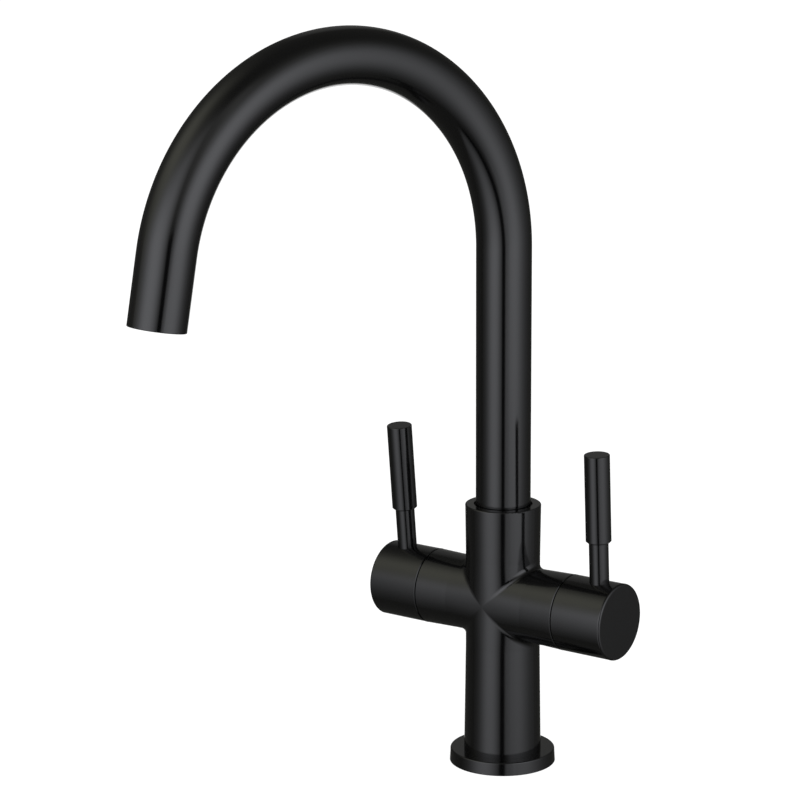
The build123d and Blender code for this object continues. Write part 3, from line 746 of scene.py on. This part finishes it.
def make_outlet_pieces():
    thread, shell_bore, gap = 10.6 * mm, 9.3 * mm, 0.05 * mm
    ring_start, ring_end, ledge, ledge_bore = 0.8 * mm, 13.0 * mm, 11.8 * mm, 9.0 * mm
    ring = turned(
        "outlet_ring",
        [
            (thread, ring_start),
            (bore_radius, ring_start),
            (bore_radius, ring_end),
            (ledge_bore, ring_end),
            (ledge_bore, ledge),
            (thread, ledge),
        ],
        [(0, 0.35 * mm, 1), (1, 0.1 * mm, 1), (3, 0.2 * mm, 2), (4, 0.2 * mm, 2)],
    )
    finish_piece(ring, in_outlet(), "outlet_insert", "spout", "brass", outlet_brass)

    shell_radius, shell_start, shell_end = thread - gap, 1.6 * mm, 10.3 * mm
    shell = turned(
        "aerator_shell",
        [
            (shell_bore, shell_start),
            (shell_radius, shell_start),
            (shell_radius, shell_end),
            (shell_bore, shell_end),
        ],
        [(0, 0.25 * mm, 3), (1, 0.2 * mm, 1), (2, 0.2 * mm, 1)],
    )
    slot_length, slot_width, slot_middle = 24 * mm, 2 * mm, 1.4 * mm
    for angle in (0, math.pi / 2):
        deselect_everything()
        bpy.ops.mesh.primitive_cube_add(
            size=1,
            location=(0, 0, slot_middle),
            rotation=(0, 0, angle),
            scale=(slot_length, slot_width, slot_width),
        )
        bpy.ops.object.transform_apply(location=True, rotation=True, scale=True)
        cut(shell, bpy.context.object)
    finish_piece(shell, in_outlet(), "aerator_housing", "spout", "aerator_plastic", grey_acetal)

    pitch, hole, start, end = 2.7 * mm, 2.1 * mm, 2.0 * mm, 5.0 * mm
    comb = turned(
        "aerator_honeycomb",
        [(0, start), (shell_bore, start), (shell_bore, end), (0, end)],
        [(1, 0.15 * mm, 2), (2, 0.15 * mm, 2)],
        steps=small_steps,
    )
    cell = six_sided_bar(hole, start - overshoot, end + overshoot)
    cells = []
    # Rows of cells on both sides of the middle, as far as whole ones fit
    for row in range(-4, 5):
        for step in range(-6, 7):
            middle = Vector((pitch * (step + row / 2), pitch * row * math.sqrt(3) / 2, 0))
            if middle.length < shell_bore - pitch / 2:
                cells.append(copied(cell, middle))
    bpy.data.objects.remove(cell)
    cut(comb, joined("cells", cells))
    finish_piece(comb, in_outlet(), "aerator_grid", "spout", "aerator_plastic", grey_acetal)


make_outlet_pieces()


# Levers: a turned pin in the hub, and a thicker sleeve on its tang


def make_lever(side_name, side, lean):
    thread, pin_foot, tang, tang_gap = 3.0 * mm, 7.5 * mm, 52.0 * mm, 0.4 * mm
    body, place = f"{side_name}_handle", on_lever(side, lean)
    pin = turned(
        f"{side_name}_pin",
        [
            (0, pin_foot),
            (thread, pin_foot),
            (thread, lever_seat),
            (stem_radius, lever_seat),
            (stem_radius, grip_start),
            (thread, grip_start),
            (thread, tang),
            (0, tang),
        ],
        [(1, 0.5 * mm, 1), (3, 0.2 * mm, 2), (4, 0.25 * mm, 2), (6, 0.5 * mm, 1)],
        steps=fine_steps,
    )
    finish_piece(pin, place, f"{side_name}_lever_stem", body, coated, satin_black)
    sleeve = turned(
        f"{side_name}_sleeve",
        [
            (0, tang + tang_gap),
            (thread, tang + tang_gap),
            (thread, grip_start),
            (grip_radius, grip_start),
            (grip_radius, lever_length),
            (0, lever_length),
        ],
        [(2, 0.2 * mm, 1), (3, 0.6 * mm, 1), (4, 0.4 * mm, 5)],
        steps=fine_steps,
    )
    finish_piece(sleeve, place, f"{side_name}_lever_grip", body, coated, satin_black)


# Arm ends: the ring in the seam, and the clamp screw under the hub


def make_arm_end(side_name, side, lean):
    inner, outer, inwards, outwards = 14.6 * mm, 17.2 * mm, 1.45 * mm, 0.15 * mm
    start, end = seam_reach - inwards, seam_reach + outwards
    ring = turned(
        f"{side_name}_gap_ring",
        [(inner, start), (outer, start), (outer, end), (inner, end)],
        [(0, 0.2 * mm, 1), (1, 0.2 * mm, 1), (2, 0.15 * mm, 3), (3, 0.15 * mm, 3)],
    )
    finish_piece(ring, on_arm(side), f"{side_name}_seam_ring", "body", plastic, black_acetal)

    thread, tip, head = 2.5 * mm, 5.5 * mm, 11.5 * mm
    socket_across, socket_depth = 2.5 * mm, 2.5 * mm
    body, place = f"{side_name}_handle", under_hub(side, lean)
    screw = turned(
        f"{side_name}_clamp_screw",
        [(0, tip), (thread, tip), (thread, head), (0, head)],
        [(1, 0.4 * mm, 1), (2, 0.35 * mm, 3)],
        steps=small_steps,
    )
    cut(screw, six_sided_bar(socket_across, head - socket_depth, head + overshoot))
    finish_piece(screw, place, f"{side_name}_hub_screw", body, "screw_steel", oxide_steel)


# Seals: round rubber rings, as they are before they are squeezed


def make_seal(name, middle, section, heights):
    """Rubber rings of a round section: a square outline whose rounded corners meet.

    The middle of the section is so far from the axis, and its radius is given.
    """
    low, high = heights[0] - section, heights[0] + section
    square = [
        (middle - section, low),
        (middle + section, low),
        (middle + section, high),
        (middle - section, high),
    ]
    corners = [(index, section, 5) for index in range(4)]
    first = turned(name, square, corners, steps=small_steps)
    rings = [first] + [copied(first, (0, 0, height - heights[0])) for height in heights[1:]]
    return joined(name, rings)


def make_valve_seals(side_name, side):
    place = on_arm(side)
    head_seal = make_seal(
        f"{side_name}_head_seal", middle=9.55 * mm, section=0.725 * mm, heights=(36.7 * mm,)
    )
    finish_piece(head_seal, place, f"{side_name}_headwork_o_ring", "body", "rubber", soft_rubber)
    node, body = f"{side_name}_spindle_o_rings", f"{side_name}_handle"
    shaft_seals = make_seal(
        f"{side_name}_shaft_seals", middle=4.3 * mm, section=0.65 * mm, heights=(32 * mm, 37 * mm)
    )
    finish_piece(shaft_seals, place, node, body, "rubber", soft_rubber)


spigot_seals = make_seal(
    "spigot_seals", middle=10.6 * mm, section=0.85 * mm, heights=(99.7 * mm, 103.3 * mm)
)
finish_piece(spigot_seals, on_column, "spout_o_rings", "spout", "rubber", soft_rubber)

for side_name, side in sides.items():
    make_lever(side_name, side, leans[side_name])
    make_arm_end(side_name, side, leans[side_name])
    make_valve_seals(side_name, side)


# Finishes of the solids that stay

solid_finishes = {
    "body_casting": casting_finish,
    "spout_spigot": column_brass,
    "spout_glide_ring": black_acetal,
    "aerator_seal": soft_rubber,
    "aerator_strainer": grey_acetal,
}
for side_name in sides:
    solid_finishes[f"{side_name}_hub"] = hub_finish
    solid_finishes[f"{side_name}_seat_seal"] = soft_rubber
    solid_finishes[f"{side_name}_fixed_disc"] = white_ceramic
    solid_finishes[f"{side_name}_moving_disc"] = white_ceramic
    solid_finishes[f"{side_name}_headwork_body"] = arm_brass
    solid_finishes[f"{side_name}_spindle"] = arm_brass
    solid_finishes[f"{side_name}_spindle_clip"] = spring_steel
    solid_finishes[f"{side_name}_spline_bush"] = black_acetal
for node, material in solid_finishes.items():
    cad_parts[node].data.materials.clear()
    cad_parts[node].data.materials.append(material)


# Camera, where the photograph was taken from: its angles and distance, in degrees and metres,
# and its focal length and the middle of its lens, in pixels of the 800 x 800 picture


def make_camera():
    azimuth, elevation, roll = (math.radians(angle) for angle in (36.024, 12.677, -0.103))
    distance, side_step, aim_height = 1.38858, -0.031854, 0.176575
    picture, focal, lens_x, lens_y = 800, 2965.349, 435.5, 400.5
    level = Vector((math.cos(azimuth), math.sin(azimuth), 0))
    aim = side_step * level + Vector((0, 0, aim_height))
    forward = Vector(
        (
            -math.sin(azimuth) * math.cos(elevation),
            math.cos(azimuth) * math.cos(elevation),
            -math.sin(elevation),
        )
    )
    upright = level.cross(forward)
    right = math.cos(roll) * level + math.sin(roll) * upright
    up = math.cos(roll) * upright - math.sin(roll) * level
    data = bpy.data.cameras.new("camera")
    data.sensor_width = 36
    data.lens = focal / picture * data.sensor_width
    data.shift_x = (picture / 2 - lens_x) / picture
    data.shift_y = (lens_y - picture / 2) / picture
    camera = bpy.data.objects.new("camera", data)
    bpy.context.scene.collection.objects.link(camera)
    turn = Matrix((right, up, -forward)).transposed().to_4x4()
    camera.matrix_world = Matrix.Translation(aim - distance * forward) @ turn
    bpy.context.scene.camera = camera
    return azimuth


camera_azimuth = make_camera()


# Studio: two tall soft lamps beside the camera, a low strip between them, panels above them,
# a small lamp behind, a black card before the camera, and dark cloth all round. An azimuth is
# 0 towards the camera and grows to the camera's right. The slant of a lamp's pattern begins at
# the waist and ends at the shoulder, which are heights over its foot.

lamp_waist, lamp_shoulder = 0.35, 1.15


def direction_to(azimuth, elevation=0.0):
    around, rise = math.radians(azimuth), math.radians(elevation)
    towards = Vector((math.sin(camera_azimuth), -math.cos(camera_azimuth), 0))
    right = Vector((math.cos(camera_azimuth), math.sin(camera_azimuth), 0))
    level = math.cos(around) * towards + math.sin(around) * right
    return math.cos(rise) * level + Vector((0, 0, math.sin(rise)))


def fade(tree, value, levels, tint):
    """A ramp over one side of a lamp: levels are (place in metres, level)."""
    start, end = levels[0][0], levels[-1][0]
    ramp = tree.nodes.new("ShaderNodeValToRGB")
    elements = ramp.color_ramp.elements
    while len(elements) < len(levels):
        elements.new(0.5)
    for element, (place, level) in zip(elements, levels):
        element.position = (place - start) / (end - start)
        element.color = (*(level * share for share in tint(place)), 1)
    feed(tree, ramp.inputs["Fac"], value)
    return ramp.outputs["Color"]


# Tints of the lamps, by the place over the foot


def white(place):
    return 1.0, 1.0, 1.0


def warm(place):
    return 1.0, 1.0, 0.84


def daylight(place):
    """The tall lamps are a little blue low down and a little warm at the top."""
    blue_below, warm_above = 0.7, 1.8
    share = min(max((place - blue_below) / (warm_above - blue_below), 0), 1)
    return 0.985 + 0.015 * share, 1.0, 1.06 - 0.16 * share


def soft_lamp(
    name, azimuth, elevation, distance, radiance, across, up, tint=white, foot=0.0, slant=0.0
):
    """A large lamp that faces the faucet, with its own fall of light across and up.

    Its foot is the height that it faces. Its slant moves the pattern to the right, by so many
    metres for each metre that it rises from the waist to the shoulder.
    """
    light = bpy.data.lights.new(name, "AREA")
    light.shape = "RECTANGLE"
    light.size, light.size_y = across[-1][0] - across[0][0], up[-1][0] - up[0][0]
    light.energy = radiance * math.pi * light.size * light.size_y
    light.use_nodes = True
    tree = light.node_tree
    emission = next(node for node in tree.nodes if node.bl_idname == "ShaderNodeEmission")
    geometry = tree.nodes.new("ShaderNodeNewGeometry")
    split = tree.nodes.new("ShaderNodeSeparateXYZ")
    feed(tree, split.inputs["Vector"], geometry.outputs["Parametric"])
    waist = (lamp_waist - up[0][0]) / light.size_y
    shoulder = (lamp_shoulder - up[0][0]) / light.size_y
    most = slant * (lamp_shoulder - lamp_waist) / light.size
    drift = ranged(tree, split.outputs["Y"], waist, shoulder, 0.0, most)
    level = fade(tree, calculate(tree, "SUBTRACT", split.outputs["X"], drift), across, white)
    rise = fade(tree, split.outputs["Y"], up, tint)
    feed(tree, emission.inputs["Color"], blended(tree, 1.0, level, rise, mode="MULTIPLY"))
    lamp = bpy.data.objects.new(name, light)
    bpy.context.scene.collection.objects.link(lamp)
    lamp.visible_camera = False
    facing = direction_to(azimuth, elevation)
    turn = facing.to_track_quat("Z", "Y").to_matrix()
    middle = Vector(((across[0][0] + across[-1][0]) / 2, (up[0][0] + up[-1][0]) / 2, distance))
    lamp.matrix_world = Matrix.Translation(Vector((0, 0, foot)) + turn @ middle) @ turn.to_4x4()


# How many places a fall of light is worked out at on each side of its peak
fall_steps = 10


def bell(share, sharpness):
    """Is 1 at the peak, a half at a share of 1, and falls on beyond it."""
    return 1 / (1 + share**sharpness)


def fall(peak, *two_sides):
    """How light falls off on both sides of its peak, as (place in metres, level).

    A side is (edge of the lamp, reach of the light, sharpness, level left at the edge).
    """
    stops = [(peak, 1.0)]
    for edge, reach, sharpness, left_over in two_sides:
        at_edge = bell(abs(edge - peak) / reach, sharpness)
        for step in range(1, fall_steps + 1):
            place = peak + (step / fall_steps) ** 2 * (edge - peak)
            risen = bell(abs(place - peak) / reach, sharpness) - at_edge
            stops.append((place, left_over + (1 - left_over) * risen / (1 - at_edge)))
    return sorted(stops)


left_across = fall(-0.33, (-3.8, 0.49, 2.1, 0.07), (0.22, 0.5, 3.0, 0))
left_up = fall(0.33, (-2.2, 0.7, 1.6, 0.15), (2.9, 0.47, 2.5, 0))
right_across = fall(-0.4, (-1.35, 0.48, 2.6, 0), (1.3, 0.48, 3.0, 0.02))
right_up = fall(0.31, (-2.2, 0.52, 2.0, 0.02), (2.9, 0.43, 3.0, 0))
strip_across = fall(-1.08, (-1.7, 0.34, 4.0, 0), (-0.55, 0.42, 6.0, 0))
strip_up = fall(-0.04, (-1.6, 0.46, 3.6, 0), (0.3, 0.3, 4.0, 0))
upper_across = fall(0.27, (-1.6, 0.57, 2.8, 0), (1.6, 0.5, 2.8, 0))
upper_up = fall(0.03, (-1.6, 0.8, 1.8, 0), (1.5, 0.6, 3.0, 0))
front_across = fall(-0.05, (-1.3, 1.1, 2.4, 0), (0.8, 0.22, 4.0, 0))
front_up = fall(-0.12, (-1.2, 0.95, 4.0, 0), (0.8, 0.32, 6.0, 0))

# The small lamp behind has straight falls
back_across = [(-0.4, 0), (-0.2, 0.75), (0, 1), (0.2, 0.75), (0.4, 0)]
back_up = [
    (-0.85, 0), (-0.65, 0.8), (-0.45, 1), (-0.2, 1), (0, 0.3), (0.12, 0.06), (1.6, 0.06),
    (2.1, 0),
]

# Each lamp: name, azimuth, elevation, distance, radiance, and its fall of light across and up
soft_lamp("left_softbox", -20, 0, 0.8, 1.1, left_across, left_up, daylight, slant=0.07)
soft_lamp("right_softbox", 68, 0, 0.7, 1.06, right_across, right_up, daylight, slant=0.14)
soft_lamp("low_strip", 68, 0, 0.7, 0.36, strip_across, strip_up, daylight)
soft_lamp("upper_left_panel", -95, 42, 1.5, 0.44, upper_across, upper_up, warm, foot=0.15)
soft_lamp("upper_front_panel", 20, 50, 1.3, 0.19, front_across, front_up, foot=0.15)
soft_lamp("back_lamp", 180, 0, 1.5, 1.5, back_across, back_up)


def seen_directly(tree):
    """Is 1 for what the camera sees, also mirrored or through a clear piece, and 0 else."""
    path = tree.nodes.new("ShaderNodeLightPath").outputs
    mirrored = calculate(tree, "MAXIMUM", path["Is Glossy Ray"], path["Is Transmission Ray"])
    return calculate(tree, "MAXIMUM", path["Is Camera Ray"], mirrored)


def make_world():
    """White where it is seen, and a plain level of light from all round."""
    light_level, seen_level = 0.5, 1.0
    world = bpy.data.worlds.new("studio")
    bpy.context.scene.world = world
    world.use_nodes = True
    tree = world.node_tree
    background = tree.nodes["Background"]
    background.inputs["Color"].default_value = (1, 1, 1, 1)
    strength = ranged(tree, seen_directly(tree), 0, 1, light_level, seen_level)
    feed(tree, background.inputs["Strength"], strength)


def dull_material(name, grey, glow, glow_level):
    """A surface with no gloss, for the floor and for what stands round the faucet."""
    material, tree, shader, _ = new_material(name)
    shader.inputs["Base Color"].default_value = (grey, grey, grey, 1)
    shader.inputs["Roughness"].default_value = 1
    shader.inputs["Specular IOR Level"].default_value = 0
    shader.inputs["Emission Color"].default_value = (*glow, 1)
    shader.inputs["Emission Strength"].default_value = glow_level
    return material, tree, shader


def make_floor():
    size, grey, seen_glow = 12, 0.35, 0.9
    deselect_everything()
    bpy.ops.mesh.primitive_plane_add(size=size)
    floor = bpy.context.object
    floor.name = "floor"
    material, tree, shader = dull_material("pale_floor", grey, (1, 1, 1), seen_glow)
    glow = calculate(tree, "MULTIPLY", seen_directly(tree), seen_glow)
    feed(tree, shader.inputs["Emission Strength"], glow)
    floor.data.materials.append(material)
    floor.visible_glossy = False
    floor.visible_shadow = False


def make_dark_cloth():
    """Dark cloth all round, which only the gloss of the faucet sees, as in the photograph."""
    radius, glow, glow_level = 5, (1, 1, 0.93), 0.053
    deselect_everything()
    bpy.ops.mesh.primitive_uv_sphere_add(segments=48, ring_count=24, radius=radius)
    cloth = bpy.context.object
    cloth.name = "dark_cloth"
    material, _, _ = dull_material("dark_cloth", 0, glow, glow_level)
    cloth.data.materials.append(material)
    cloth.visible_camera = False
    cloth.visible_diffuse = False
    cloth.visible_shadow = False


def make_black_card():
    """A black card before the camera, unseen by it: it parts the two bright bands."""
    azimuth, distance, width, low, high = -2.5, 0.69, 0.145, -1.5, 0.35
    deselect_everything()
    bpy.ops.mesh.primitive_plane_add(size=1)
    card = bpy.context.object
    card.name = "black_card"
    turn = direction_to(azimuth).to_track_quat("Z", "Y").to_matrix()
    middle = turn @ Vector((0, (low + high) / 2, distance))
    stretch = Matrix.Diagonal((width, high - low, 1, 1))
    card.matrix_world = Matrix.Translation(middle) @ turn.to_4x4() @ stretch
    bpy.ops.object.transform_apply(location=True, rotation=True, scale=True)
    material, _, _ = dull_material("black_card", 0, (1, 1, 1), 0)
    card.data.materials.append(material)
    card.visible_camera = False


make_world()
make_floor()
make_dark_cloth()
make_black_card()
bpy.context.scene.view_settings.view_transform = "Standard"
